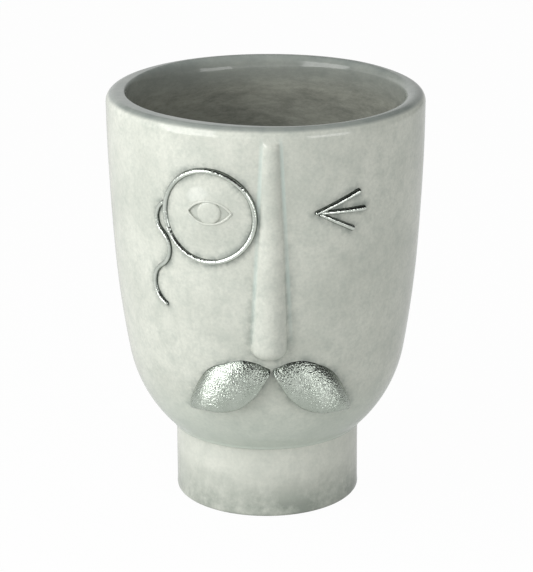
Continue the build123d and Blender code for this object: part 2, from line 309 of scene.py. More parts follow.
# %% A smooth step, and a slow wobble of the casting
WOBBLE, WOBBLE_SIZE = 0.12, 38.0


def clamp(value):
    """A value kept between 0 and 1."""
    return min(1.0, max(0.0, value))


def ease(value):
    """Smooth step from 0 to 1."""
    value = clamp(value)
    return value * value * (3 - 2 * value)


def wobble_at(point):
    """How far the skin lies inside its true shape at a point, as a length below zero."""
    return WOBBLE * (noise.noise(point / WOBBLE_SIZE) - 1)


print("ease at a quarter:", ease(0.25))

# %% [markdown]
# ## Tools for pieces
# Round pieces start as a single vertex. A pen draws the half section with it, straight runs
# by extruding the vertex and arcs by spinning it, and one full spin turns the section into
# the piece. Relief is drawn flat, as x across, y up and z out, and then laid on the skin by
# pushing each vertex along the normal of a plane that touches the skin, as a sprig mould
# presses clay onto a pot.

# %% A pen for half sections
UPRIGHT = (0, 1, 0)
# In millimetres: usual run, short run for small rounds, and welding distance
RUN, EDGE_RUN, WELD = 2.5, 0.3, 0.002


def only(kind, geom):
    """The vertices or the edges among what an operation gave back."""
    return [item for item in geom if isinstance(item, kind)]


class Pen:
    """Draws a half section; its points are a radius and a height."""

    def __init__(self, bm, point):
        self.bm = bm
        self.tip = bm.verts.new((point[0], 0, point[1]))

    def line(self, *points, step=RUN):
        """Draws straight from point to point in even runs."""
        for point in points:
            start, end = self.tip.co.copy(), Vector((point[0], 0, point[1]))
            runs = max(1, round((end - start).length / step))
            for run in range(1, runs + 1):
                self.tip = bmesh.ops.extrude_vert_indiv(self.bm, verts=[self.tip])["verts"][0]
                self.tip.co = start.lerp(end, run / runs)

    def arc(self, centre, point, step=RUN):
        """Draws the short way round a centre to a point."""
        before = Vector((self.tip.co.x - centre[0], self.tip.co.z - centre[1]))
        after = Vector((point[0] - centre[0], point[1] - centre[1]))
        angle = before.angle_signed(after)
        runs = max(2, round(abs(angle) * before.length / step))
        turned = bmesh.ops.spin(self.bm, geom=[self.tip], cent=(centre[0], 0, centre[1]), axis=UPRIGHT,
                                angle=angle, steps=runs, use_merge=False)
        self.tip = only(BMVert, turned["geom_last"])[0]


def spin_section(bm, steps):
    """Turns everything drawn so far once round the pot's axis."""
    bmesh.ops.spin(bm, geom=bm.verts[:] + bm.edges[:], cent=(0, 0, 0), axis=(0, 0, 1),
                   angle=math.tau, steps=steps, use_merge=True)
    bmesh.ops.remove_doubles(bm, verts=bm.verts, dist=WELD)


print("usual run:", RUN, "mm")

# %% Finishing a piece
SHARP_ANGLE = math.radians(40)
MM = 0.001
# Slots and materials
GLAZED = ("sage_glaze", sage_glaze)
SILVERED = ("silver_lustre", silver_lustre)


def make_piece(bm, name, node, slot, material, body="planter"):
    """Turns a closed bmesh in millimetres into a piece that stands for a CAD node."""
    bmesh.ops.remove_doubles(bm, verts=bm.verts, dist=WELD)
    bmesh.ops.recalc_face_normals(bm, faces=bm.faces)
    bmesh.ops.scale(bm, vec=(MM, MM, MM), verts=bm.verts)
    for face in bm.faces:
        face.smooth = True
    for rim in bm.edges:
        rim.smooth = rim.calc_face_angle(0) < SHARP_ANGLE
    open_edges = sum(1 for rim in bm.edges if not rim.is_manifold)
    mesh = bpy.data.meshes.new(name)
    bm.to_mesh(mesh)
    bm.free()
    piece = bpy.data.objects.new(name, mesh)
    scene.collection.objects.link(piece)
    mesh.materials.append(material)
    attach(piece, body)
    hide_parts(node)
    triangles = sum(len(polygon.vertices) - 2 for polygon in mesh.polygons)
    print(f"{name}: {triangles} triangles, {open_edges} open edges")
    return piece


print("sharp edges: above", round(math.degrees(SHARP_ANGLE)), "degrees")

# %% Laying relief on the skin
LANDING_STEPS = 8


def lay_on_skin(bm, offset, height, extra=None):
    """Lays flat relief on the skin round a point that is offset from the front, at a height."""
    radius, normal = skin(height)
    turn = offset / radius
    across = Vector((math.cos(turn), math.sin(turn), 0))
    out = Vector((math.sin(turn) * normal.x, -math.cos(turn) * normal.x, normal.y))
    up = out.cross(across)
    origin = Vector((radius * math.sin(turn), -radius * math.cos(turn), height))
    for vert in bm.verts:
        x, y, z = vert.co
        if extra:
            z += extra(x, y)
        point = origin + x * across + y * up
        for _ in range(LANDING_STEPS):
            point += out * (skin(point.z)[0] - point.xy.length)
        side = point.xy.normalized()
        lean = skin(point.z)[1]
        vert.co = point + (z + wobble_at(point)) * Vector((side.x * lean.x, side.y * lean.x, lean.y))


print("skin at the cheek:", round(skin(CHEEK.y)[0], 2), "mm from the axis")

# %% [markdown]
# ## Bowl
# The bowl is cast with an even wall, so its inside is the outside's arcs moved in by the
# wall. The lip is round outside. Inside, its edge was left crisp on the left and wiped round
# elsewhere, and the rim dips a little at the front right. The floor has a drain hole and a
# spigot that sits in the foot. A slow wobble of a tenth of a millimetre keeps the
# reflections on the glaze from looking machined.

# %% Bowl section
WALL = 8.2
FLOOR_TOP = 39.9
DRAIN_RADIUS = 8.0
SPIGOT_RADIUS, SPIGOT_BOTTOM = 30.0, 27.9
OUTER_ROUND, INNER_ROUND, CORNER_ROUND, HEM_ROUND = 4.2, 2.4, 10.0, 1.2
SIDE_RUN, CORNER_RUN, LIP_RUN, ROUND_RUN = 1.3, 1.5, 0.5, 0.35

bm = bmesh.new()
pen = Pen(bm, (LIP.x, LIP.y - OUTER_ROUND))
for centre, _, _, end in skin_arcs[:2]:
    pen.arc(centre, end, SIDE_RUN)
jaw_centre, jaw_radius = skin_arcs[2][:2]
hem_top = Vector((skin(HEM.y + HEM_ROUND)[0], HEM.y + HEM_ROUND))
pen.arc(jaw_centre, hem_top, SIDE_RUN)
pen.arc((hem_top.x - HEM_ROUND, hem_top.y), (hem_top.x - HEM_ROUND, HEM.y), ROUND_RUN)
inner_radius = jaw_radius - WALL
corner_up = FLOOR_TOP + CORNER_ROUND - jaw_centre.y
corner = Vector((jaw_centre.x + math.sqrt((inner_radius - CORNER_ROUND) ** 2 - corner_up**2),
                 FLOOR_TOP + CORNER_ROUND))
pen.line((SPIGOT_RADIUS, HEM.y), (SPIGOT_RADIUS, SPIGOT_BOTTOM), (DRAIN_RADIUS, SPIGOT_BOTTOM),
         (DRAIN_RADIUS, FLOOR_TOP), (corner.x, FLOOR_TOP))
pen.arc(corner, jaw_centre + (corner - jaw_centre).normalized() * inner_radius, CORNER_RUN)
for centre, radius, start, _ in reversed(skin_arcs[1:]):
    pen.arc(centre, centre + (start - centre).normalized() * (radius - WALL))
inner_edge, inner_top = LIP.x - WALL + INNER_ROUND, LIP.y - INNER_ROUND
pen.arc(skin_arcs[0][0], (LIP.x - WALL, inner_top), SIDE_RUN)
pen.arc((inner_edge, inner_top), (inner_edge, LIP.y), EDGE_RUN)
outer_edge, outer_top = LIP.x - OUTER_ROUND, LIP.y - OUTER_ROUND
pen.line((outer_edge, LIP.y), step=LIP_RUN)
pen.arc((outer_edge, outer_top), (LIP.x, outer_top), ROUND_RUN)
print("bowl section:", len(bm.verts), "points")

# %% Bowl spun, its lip wiped by hand and its zones marked
CRISP_ROUND, WIPED_ROUND, WIPE_DEPTH = 0.9, 4.0, 16.0
WIPE_DOWN, WIPE_SKEW = 1.5, 0.8
CRISP_MIDDLE, CRISP_HALF, CRISP_FADE = -67.5, 37.5, 55.0
RIM_DIP, DIP_TOWARDS, DIP_START = 0.76, math.radians(50), 150.0
# Margins for rounding, inside the lip and outside a bore
ROUNDING, LIP_MARGIN, BORE_MARGIN = 1e-4, 0.01, 1.0
# How far round the lip's inner edge the grey inside starts, and its share at the lip, from which painted
# shade deepens it downwards
BARE_START, INSIDE_SHADE_AT_LIP = 0.4, 0.3
LIP_SHADE, LIP_SHADE_DEPTH, LIP_WOBBLE_DEPTH = 0.95, 1.8, 12.0
ZONES_START = SPIGOT_BOTTOM + 4


def wiped_lip(inset, height, degrees):
    """Where a point of the lip's inside goes: its inset, its height and how far round the edge it is."""
    wiped = ease((abs(degrees - CRISP_MIDDLE) - CRISP_HALF) / CRISP_FADE)
    across = CRISP_ROUND + (WIPED_ROUND - CRISP_ROUND) * wiped
    down = across * (WIPE_DOWN - WIPE_SKEW * math.sin(math.radians(degrees)))
    if height > LIP.y - ROUNDING:
        share = (inset - OUTER_ROUND) / (WALL - INNER_ROUND - OUTER_ROUND)
        return OUTER_ROUND + share * (WALL - across - OUTER_ROUND), height, 0.0
    if height > LIP.y - INNER_ROUND + ROUNDING:
        sine = (inset - WALL) / INNER_ROUND + 1
        rise = (height - LIP.y) / INNER_ROUND + 1
        return WALL - across + across * sine, LIP.y - down + down * rise, sine
    share = (height - LIP.y + WIPE_DEPTH) / (WIPE_DEPTH - INNER_ROUND)
    return inset, LIP.y - WIPE_DEPTH + share * (WIPE_DEPTH - down), 1.0


spin_section(bm, steps=360)
shade_layer = bm.verts.layers.float.new("shade_zone")
wall_layer = bm.verts.layers.float.new("inner_wall")
for vert in bm.verts:
    radius, height = vert.co.xy.length, vert.co.z
    inset = skin(max(height, HEM.y))[0] - radius
    side = vert.co.xy.normalized() if radius > DRAIN_RADIUS + BORE_MARGIN else Vector((0, 0))
    facing = math.atan2(vert.co.x, -vert.co.y)
    wobble = wobble_at(vert.co)
    if inset > OUTER_ROUND + LIP_MARGIN and height > LIP.y - WIPE_DEPTH:
        new_inset, vert.co.z, round_share = wiped_lip(inset, height, math.degrees(facing))
        vert.co.xy += side * (inset - new_inset)
        # Painted shade: the grey inside deepens from the lip down over the wipe depth
        inside_and_shade = INSIDE_SHADE_AT_LIP + (1 - INSIDE_SHADE_AT_LIP) * ease((LIP.y - height) / WIPE_DEPTH)
        vert[wall_layer] = ease((round_share - BARE_START) / (1 - BARE_START)) * inside_and_shade
    elif inset > OUTER_ROUND and height > ZONES_START:
        vert[wall_layer] = 1.0
    # Painted reflection of the dark room above, with the thin glaze, on the lip's top and outer round
    if height > ZONES_START:
        near_lip = clamp(height - LIP.y + LIP_SHADE_DEPTH)
        vert[shade_layer] = LIP_SHADE * (near_lip if inset < OUTER_ROUND else 1.0)
    if radius > SPIGOT_RADIUS + BORE_MARGIN:
        vert.co.xy += side * wobble
    if height > LIP.y - LIP_WOBBLE_DEPTH:
        vert.co.z += wobble
    dip = RIM_DIP * max(0.0, math.cos(facing - DIP_TOWARDS))
    vert.co.z -= dip * ease((height - DIP_START) / (LIP.y - DIP_START))
bowl = make_piece(bm, "glazed_bowl", "bowl", *GLAZED)

# %% [markdown]
# ## Ring foot
# The foot is a plain ring, open underneath. It was probably cast with the bowl, so a soft
# crease is all that shows between them; its standing edges are wiped round.

# %% Foot section, spun
FOOT_RADIUS, FOOT_BORE, FOOT_ROUND = 38.9, 30.3, 1.4

bm = bmesh.new()
pen = Pen(bm, (FOOT_RADIUS, HEM.y))
pen.line((FOOT_RADIUS, FOOT_ROUND))
pen.arc((FOOT_RADIUS - FOOT_ROUND, FOOT_ROUND), (FOOT_RADIUS - FOOT_ROUND, 0), EDGE_RUN)
pen.line((FOOT_BORE + FOOT_ROUND, 0), step=CORNER_RUN)
pen.arc((FOOT_BORE + FOOT_ROUND, FOOT_ROUND), (FOOT_BORE, FOOT_ROUND), EDGE_RUN)
pen.line((FOOT_BORE, HEM.y), (FOOT_RADIUS, HEM.y))
spin_section(bm, steps=180)
for vert in bm.verts:
    if FOOT_ROUND <= vert.co.z < HEM.y and vert.co.xy.length > FOOT_BORE + BORE_MARGIN:
        vert.co.xy += vert.co.xy.normalized() * wobble_at(vert.co)
make_piece(bm, "glazed_ring_foot", "pedestal_foot", *GLAZED)

# %% [markdown]
# ## Drain plug
# A rubber plug closes the drain hole: a flange that lies on the floor, a hollow shank that
# the hole grips and a knob to pull. It lifts straight out, so it rides on its own body.

# %% Plug section, spun
SHANK_RADIUS, SHANK_BOTTOM, SHANK_BORE, BORE_TOP = 7.92, 22.9, 5.52, 37.5
FLANGE_RADIUS, FLANGE_TOP, KNOB_RADIUS, KNOB_TOP, PLUG_ROUND = 13.0, 42.5, 4.2, 49.5, 1.0

bm = bmesh.new()
pen = Pen(bm, (0, KNOB_TOP))
pen.line((KNOB_RADIUS - PLUG_ROUND, KNOB_TOP))
pen.arc((KNOB_RADIUS - PLUG_ROUND, KNOB_TOP - PLUG_ROUND), (KNOB_RADIUS, KNOB_TOP - PLUG_ROUND), EDGE_RUN)
pen.line((KNOB_RADIUS, FLANGE_TOP), (FLANGE_RADIUS - PLUG_ROUND, FLANGE_TOP))
pen.arc((FLANGE_RADIUS - PLUG_ROUND, FLANGE_TOP - PLUG_ROUND),
        (FLANGE_RADIUS, FLANGE_TOP - PLUG_ROUND), EDGE_RUN)
pen.line((FLANGE_RADIUS, FLOOR_TOP), (SHANK_RADIUS, FLOOR_TOP), (SHANK_RADIUS, SHANK_BOTTOM + PLUG_ROUND))
pen.arc((SHANK_RADIUS - PLUG_ROUND, SHANK_BOTTOM + PLUG_ROUND),
        (SHANK_RADIUS - PLUG_ROUND, SHANK_BOTTOM), EDGE_RUN)
pen.line((SHANK_BORE, SHANK_BOTTOM), (SHANK_BORE, BORE_TOP), (0, BORE_TOP))
spin_section(bm, steps=72)
make_piece(bm, "rubber_drain_plug", "drain_plug", "plug_rubber", plug_rubber, "drain_plug")

# %% [markdown]
# ## Nose
# The nose is one long ridge that grows wider and taller down to a blunt tip, with a soft
# fillet along its foot where the mould was eased. A grid is laid on the front of the skin
# and pushed forward by the ridge's height; the ridge and the wall are blended by a smooth
# maximum, which makes the fillet. The grid's border dips just under the skin, and an
# extruded skirt and back close it inside the wall.

# %% Nose ridge from a grid
NOSE_TOP, NOSE_BOTTOM = 170.2, 78.0
NOSE_HALF_WIDTHS, NOSE_RISES = (2.8, 7.4), (1.7, 7.05)
TIP_ROUND, BROW_LENGTH, BROW_SINK, NOSE_FILLET = 5.6, 2.6, 2.2, 0.9
NOSE_DIP, NOSE_ROOT = 0.08, 2.5
# How square its section is, and how steeply it falls away outside
NOSE_POWER, NOSE_FALL = 2.2, 1.6
PATCH_HALF, PATCH_BELOW, PATCH_ABOVE = 15.0, 6.0, 0.3
# The tip bends a little to one side, as if pressed by hand
NOSE_BEND = -1.0


def nose_height(x, z):
    """How far the ridge stands out in front of the skin."""
    share = clamp((NOSE_TOP - z) / (NOSE_TOP - NOSE_BOTTOM))
    half_width = NOSE_HALF_WIDTHS[0] + share * (NOSE_HALF_WIDTHS[1] - NOSE_HALF_WIDTHS[0])
    end_radius = skin(NOSE_TOP)[0] + NOSE_RISES[0]
    rise = end_radius + share * (skin(NOSE_BOTTOM)[0] + NOSE_RISES[1] - end_radius) - skin(z)[0]
    across = abs(x - NOSE_BEND * share**3) / half_width
    down = max(0.0, (NOSE_BOTTOM + TIP_ROUND - z) / TIP_ROUND)
    brow = max(0.0, (z - NOSE_TOP + BROW_LENGTH) / BROW_LENGTH)
    rise *= 1 - ease(brow)
    reach = (across**NOSE_POWER + down**NOSE_POWER) ** (1 / NOSE_POWER)
    ridge = rise * math.sqrt(1 - reach**2) if reach < 1 else -NOSE_FALL * half_width * (reach - 1)
    ridge -= BROW_SINK * brow**3
    return (ridge + math.hypot(ridge, NOSE_FILLET)) / 2 - NOSE_DIP


bm = bmesh.new()
bmesh.ops.create_grid(bm, x_segments=84, y_segments=230, size=1)
low, high = NOSE_BOTTOM - PATCH_BELOW, NOSE_TOP + PATCH_ABOVE
for vert in bm.verts:
    x, z = vert.co.x * PATCH_HALF, low + (vert.co.y + 1) / 2 * (high - low)
    vert.co = (x, -math.sqrt(skin(z)[0] ** 2 - x * x), z)
    vert.co.xy += vert.co.xy.normalized() * wobble_at(vert.co)
    vert.co.y -= nose_height(x, z)
border = [rim for rim in bm.edges if rim.is_boundary]
skirt = bmesh.ops.extrude_edge_only(bm, edges=border)["geom"]
bmesh.ops.translate(bm, vec=(0, NOSE_ROOT, 0), verts=only(BMVert, skirt))
bmesh.ops.holes_fill(bm, edges=[rim for rim in bm.edges if rim.is_boundary], sides=0)
nose = make_piece(bm, "nose_relief", "nose_ridge", *GLAZED)

# %% [markdown]
# ## Monocle
# A round bead of clay frames a shallow domed lens, and a thin cord hangs from the bead in
# three bends. The ring is a small circle spun into a torus, flattened, and laid on the
# skin. The cord is the same small circle, spun round the centre of each bend in turn.

# %% Monocle ring
# Offset from the front, and height
MONOCLE = (-25.58, 138.15)
RING_RADIUS, RING_HALF_WIDTH, RING_RISE = 18.8, 1.15, 1.7
BEAD_ROOT = 0.5
# Thin film and painted contact shade start below this share of a bead's rise, and are darkest this much lower
FILM_SHADE_START, FILM_SHADE_FADE = 0.80, 0.35


def bead_section(bm, centre, half_width, side=(1, 0, 0)):
    """A circle that stands upright across a path, as the start of a bead."""
    turn = Matrix((Vector(side), Vector((0, 0, 1)), Vector(side).cross((0, 0, 1)))).transposed().to_4x4()
    made = bmesh.ops.create_circle(bm, cap_ends=False, segments=20, radius=half_width,
                                   matrix=Matrix.Translation(centre) @ turn)
    return made["verts"] + list({rim for vert in made["verts"] for rim in vert.link_edges})


def flatten_bead(bm, half_width, rise):
    """Turns the round section into a bead: its top at the rise, its root inside the wall."""
    edge_layer = bm.verts.layers.float.new("film_edge_and_shade")
    for vert in bm.verts:
        vert.co.z *= (rise if vert.co.z > 0 else BEAD_ROOT) / half_width
        # Painted contact shade, with thinner film, on the bead's sides near the wall
        vert[edge_layer] = clamp((FILM_SHADE_START - vert.co.z / rise) / FILM_SHADE_FADE)


bm = bmesh.new()
section = bead_section(bm, (RING_RADIUS, 0, 0), RING_HALF_WIDTH)
bmesh.ops.spin(bm, geom=section, cent=(0, 0, 0), axis=(0, 0, 1), angle=math.tau,
               steps=180, use_merge=True)
flatten_bead(bm, RING_HALF_WIDTH, RING_RISE)
lay_on_skin(bm, *MONOCLE)
ring = make_piece(bm, "monocle_ring_bead", "monocle_ring", *SILVERED)

# %% Monocle cord
CORD_HALF_WIDTH, CORD_RISE, CORD_DROP = 0.95, 1.4, 44.0
CORD_START, CORD_HEADING = math.radians(168), math.radians(-68)
CORD_KNOTS = ((-0.05, -0.298), (-0.068, -0.621), (-0.043, -1.0))
# Loops of a rounded end: step in half widths, and size next to the loop before
END_LOOPS = ((0.4, 0.9), (0.3, 0.75), (0.2, 0.5))


def round_end(bm, edges, heading, half_width):
    """Closes a bead's open end with a round nose."""
    for reach, width in END_LOOPS:
        moved = bmesh.ops.extrude_edge_only(bm, edges=edges)["geom"]
        verts = only(BMVert, moved)
        edges = only(BMEdge, moved)
        middle = sum((vert.co for vert in verts), Vector()) / len(verts)
        bmesh.ops.scale(bm, vec=(width, width, width), verts=verts, space=Matrix.Translation(-middle))
        bmesh.ops.translate(bm, vec=heading.to_3d() * reach * half_width, verts=verts)
    bmesh.ops.contextual_create(bm, geom=edges)


bm = bmesh.new()
point = RING_RADIUS * Vector((math.cos(CORD_START), math.sin(CORD_START)))
heading = Vector((math.sin(CORD_HEADING), -math.cos(CORD_HEADING)))
start = point.copy()
across = Vector((-heading.y, heading.x, 0))
geom = bead_section(bm, point.to_3d(), CORD_HALF_WIDTH, across)
first_edges, first_heading = only(BMEdge, geom), -heading
for knot in CORD_KNOTS:
    end = start + CORD_DROP * Vector(knot)
    centre, _, next_heading = tangent_arc(point, heading, end)
    angle = (end - centre).angle_signed(point - centre)
    geom = bmesh.ops.spin(bm, geom=geom, cent=centre.to_3d(), axis=(0, 0, 1), angle=angle,
                          steps=24, use_merge=False)["geom_last"]
    point, heading = end, next_heading
round_end(bm, only(BMEdge, geom), heading, CORD_HALF_WIDTH)
round_end(bm, first_edges, first_heading, CORD_HALF_WIDTH)
flatten_bead(bm, CORD_HALF_WIDTH, CORD_RISE)
lay_on_skin(bm, *MONOCLE)
cord = make_piece(bm, "monocle_cord_bead", "monocle_cord", *SILVERED)
silver_pieces = [ring, cord]

# %% [markdown]
# ## Lens and open eye
# The lens is a shallow dome of the same glazed clay. The eye behind it is pressed in: an
# almond hollow with a round iris left standing, and a thin raised lid along each edge. The
# hollow is cut by pushing a finely spun disc down inside two crossing circles.

# %% Lens with its almond hollow
LENS_RADIUS, LENS_RISE, LENS_EDGE, LENS_ROOT = 17.75, 2.4, 0.5, 1.5
EYE_SHIFT, EYE_LIFT, EYE_HALF_WIDTH, EYE_HALF_HEIGHT, EYE_DEPTH = 1.1, 2.2, 9.0, 4.7, 0.7
LID_RADIUS = (EYE_HALF_WIDTH**2 + EYE_HALF_HEIGHT**2) / (2 * EYE_HALF_HEIGHT)
LID_CENTRE = LID_RADIUS - EYE_HALF_HEIGHT
# The hollow's start outside its outline, the length it eases in over, and its painted shade
EYE_SPREAD, EYE_FADE, EYE_SHADE = 0.15, 0.6, 0.28


def lens_height(x, y):
    """The dome swells in the middle and runs out flat towards the ring."""
    share = min(1.0, math.hypot(x, y) / LENS_RADIUS)
    return LENS_EDGE + (LENS_RISE - LENS_EDGE) * (1 + math.cos(math.pi * share)) / 2


def eye_hollow(x, y):
    """Depth of the almond hollow, which eases in at its edge."""
    x, y = x - EYE_SHIFT, y - EYE_LIFT
    away = max(math.hypot(x, y + LID_CENTRE), math.hypot(x, y - LID_CENTRE))
    return EYE_DEPTH * ease((LID_RADIUS - away + EYE_SPREAD) / EYE_FADE)


bm = bmesh.new()
pen = Pen(bm, (0, 0))
pen.line((LENS_RADIUS, 0), step=0.33)
pen.line((LENS_RADIUS, -LENS_ROOT))
pen.line((0, -LENS_ROOT), step=6)
spin_section(bm, steps=180)
shade_layer = bm.verts.layers.float.new("shade_zone")
for vert in bm.verts:
    if vert.co.z > -LENS_ROOT / 2:
        hollow = eye_hollow(vert.co.x, vert.co.y)
        vert.co.z = lens_height(vert.co.x, vert.co.y) - hollow
        # Painted shade in the hollow, darkest where it is deepest
        vert[shade_layer] = EYE_SHADE * hollow / EYE_DEPTH
lay_on_skin(bm, *MONOCLE)
lens = make_piece(bm, "monocle_lens_dome", "monocle_lens", *GLAZED)

# %% Iris and eyelids
IRIS_RADIUS, IRIS_RISE, IRIS_ROOT = 4.85, 0.1, 0.4
# Its rounded edge: distance inside the radius and below the top, and run
IRIS_EDGE = ((0.7, 0.1, 0.6), (0.3, 0.25, 0.3))
LID_HALF_WIDTH, LID_RISE, LID_COVER = 0.5, 0.35, 0.15

bm = bmesh.new()
pen = Pen(bm, (0, IRIS_RISE))
for inside_by, below_by, run in IRIS_EDGE:
    pen.line((IRIS_RADIUS - inside_by, IRIS_RISE - below_by), step=run)
pen.line((IRIS_RADIUS, -EYE_DEPTH), step=EDGE_RUN)
pen.line((IRIS_RADIUS, -EYE_DEPTH - IRIS_ROOT), step=LIP_RUN)
pen.line((0, -EYE_DEPTH - IRIS_ROOT), step=2)
spin_section(bm, steps=64)
for vert in bm.verts:
    # The lids cover the iris a little at the top and bottom
    lid = math.sqrt(LID_RADIUS**2 - vert.co.x**2) - LID_CENTRE - LID_COVER
    vert.co.y = max(-lid, min(lid, vert.co.y))
bmesh.ops.translate(bm, vec=(EYE_SHIFT, EYE_LIFT, 0), verts=bm.verts)
lay_on_skin(bm, *MONOCLE, lens_height)
make_piece(bm, "iris_button", "iris", *GLAZED)

for side, name, node in ((1, "upper_lid_bead", "upper_eyelid"), (-1, "lower_lid_bead", "lower_eyelid")):
    bm = bmesh.new()
    centre = Vector((EYE_SHIFT, EYE_LIFT - side * LID_CENTRE, 0))
    corner = Vector((EYE_SHIFT - EYE_HALF_WIDTH, EYE_LIFT, 0)) - centre
    section = bead_section(bm, centre + corner, LID_HALF_WIDTH, corner.normalized())
    first_edges = only(BMEdge, section)
    sweep = -side * 2 * math.asin(EYE_HALF_WIDTH / LID_RADIUS)
    swept = bmesh.ops.spin(bm, geom=section, cent=centre, axis=(0, 0, 1), angle=sweep,
                           steps=40, use_merge=False)["geom_last"]
    for edges in (first_edges, only(BMEdge, swept)):
        bmesh.ops.contextual_create(bm, geom=edges)
    flatten_bead(bm, LID_HALF_WIDTH, LID_RISE)
    lay_on_skin(bm, *MONOCLE, lens_height)
    make_piece(bm, name, node, *GLAZED)

# %% [markdown]
# ## Winking eye
# Three strokes of clay meet at a point beside the nose. Each is a sphere with its poles
# turned along the stroke and its two halves pulled apart, tapered towards the point.

# %% Three lash strokes
WINK, WINK_POINT = (28.0, 139.75), -9.8
LASH_RISE, LASH_WIDTHS = 1.4, (0.9, 1.25)
LASH_FILM_SHADE_START, LASH_FILM_SHADE_FADE = 0.85, 0.4
# The sphere's waist, and which edges cross it, to be cut finely and drawn out
WAIST, WAIST_EDGES, ALONG_EDGES = 0.22, 0.25, 0.05
ALONG_X = Matrix.Rotation(math.pi / 2, 4, "Y")
LASHES = (("upper", 0.0, 19.3, 20.2), ("middle", 2.4, 20.8, -2.0), ("lower", 2.0, 17.5, -27.4))

for name, begin, end, degrees in LASHES:
    bm = bmesh.new()
    edge_layer = bm.verts.layers.float.new("film_edge_and_shade")
    bmesh.ops.create_uvsphere(bm, u_segments=20, v_segments=14, radius=1, matrix=ALONG_X)
    waist = [rim for rim in bm.edges if abs(sum(vert.co.x for vert in rim.verts)) < WAIST_EDGES
             and abs(rim.verts[0].co.x - rim.verts[1].co.x) > ALONG_EDGES]
    bmesh.ops.subdivide_edges(bm, edges=waist, cuts=12)
    for vert in bm.verts:
        x = vert.co.x
        share = ease((x + WAIST) / (2 * WAIST)) if abs(x) < WAIST else float(x > 0)
        half_width = LASH_WIDTHS[0] + share * (LASH_WIDTHS[1] - LASH_WIDTHS[0])
        along = begin + share * (end - begin) + x * half_width
        # Painted contact shade, with thinner film, low on the stroke's sides
        vert[edge_layer] = clamp((LASH_FILM_SHADE_START - vert.co.z) / LASH_FILM_SHADE_FADE)
        vert.co = (along, vert.co.y * half_width, vert.co.z * (LASH_RISE if vert.co.z > 0 else BEAD_ROOT))
    turn = Matrix.Rotation(math.radians(degrees), 3, "Z")
    bmesh.ops.rotate(bm, cent=(0, 0, 0), matrix=turn, verts=bm.verts)
    bmesh.ops.translate(bm, vec=(WINK_POINT, 0, 0), verts=bm.verts)
    lay_on_skin(bm, *WINK)
    silver_pieces.append(make_piece(bm, f"{name}_lash_stroke", f"wink_lash_{name}", *SILVERED))

# %% [markdown]
# ## Moustache
# The moustache is two pillows that meet under the nose. A sphere with its poles along the
# pillow gives each one clean loops: the loops follow a few drawn sections, from the parting
# through the fullest part to the tip, and the front half swells while the back stays in the
# wall. The left half mirrors the right one, with a fuller shoulder, and one tilt runs through both.

# %% Moustache halves
MOUSTACHE_SPAN, MOUSTACHE_LOW, MOUSTACHE_HEIGHT = 36.1, 52.2, 25.2
MOUSTACHE_RISE, MOUSTACHE_GAP, MOUSTACHE_ROOT, MOUSTACHE_SINK = 8.2, 0.4, 1.2, 0.3
# Place along the span, lower edge and upper edge up the height, and share of the rise
SECTIONS = ((0.0, 0.82, 0.82, 0.0), (0.021, 0.765, 0.862, 0.24), (0.07, 0.645, 0.89, 0.42),
            (0.14, 0.45, 0.945, 0.56), (0.23, 0.30, 0.98, 0.67), (0.34, 0.185, 0.99, 0.80),
            (0.52, 0.13, 0.90, 0.99), (0.72, 0.14, 0.68, 0.98), (0.89, 0.11, 0.34, 0.68),
            (1.03, 0.02, 0.02, 0.0))
# Each half's upper edge is a little fuller towards its tip, the left one more
SHOULDERS, SHOULDER_AT, SHOULDER_HALF = {"left": 0.075, "right": 0.03}, 0.78, 0.25
# The moustache sits askew: millimetres down for each millimetre to the right
TILT = 0.025
# The pillow is fullest below its middle, so its face looks a little upwards
CREST = -0.70
# From here up to its upper edge the face rolls over
ROLL_START = 0.66
FACE_FALL, FACE_CURVE, ROLL_CURVE = 0.80, 1.4, 2.6
# The film is thin and painted with contact shade this near the wall, and within this share of the span from
# the parting
THIN_SHADED_STAND, THIN_SHADED_PARTING = 1.2, 0.06
LUMP, LUMP_SIZE, LUMP_SEED, TINY = 0.12, 5.0, 1, 1e-9


def swell(up):
    """Share of the rise at a place across the pillow, from -1 at its lower edge to 1 at its upper edge."""
    if up < CREST:
        return math.sqrt(max(0.0, 1 - ((CREST - up) / (1 + CREST)) ** 2))
    away = (up - CREST) / (1 - CREST)
    roll = max(0.0, (away - ROLL_START) / (1 - ROLL_START))
    return (1 - FACE_FALL * away**FACE_CURVE) * math.sqrt(max(0.0, 1 - roll**ROLL_CURVE))


def section_at(share):
    """Lower edge, upper edge and rise between the drawn sections, on a smooth curve."""
    last = len(SECTIONS) - 1
    at = max(index for index in range(last) if SECTIONS[index][0] <= share + TINY)
    before, start, end, after = (SECTIONS[min(last, max(0, at + step))] for step in (-1, 0, 1, 2))
    length = end[0] - start[0]
    t = (share - start[0]) / length
    values = []
    for item in (1, 2, 3):
        slope_in = (end[item] - before[item]) / (end[0] - before[0]) * length
        slope_out = (after[item] - start[item]) / (after[0] - start[0]) * length
        values.append((2 * t**3 - 3 * t**2 + 1) * start[item] + (t**3 - 2 * t**2 + t) * slope_in
                      + (3 * t**2 - 2 * t**3) * end[item] + (t**3 - t**2) * slope_out)
    return values


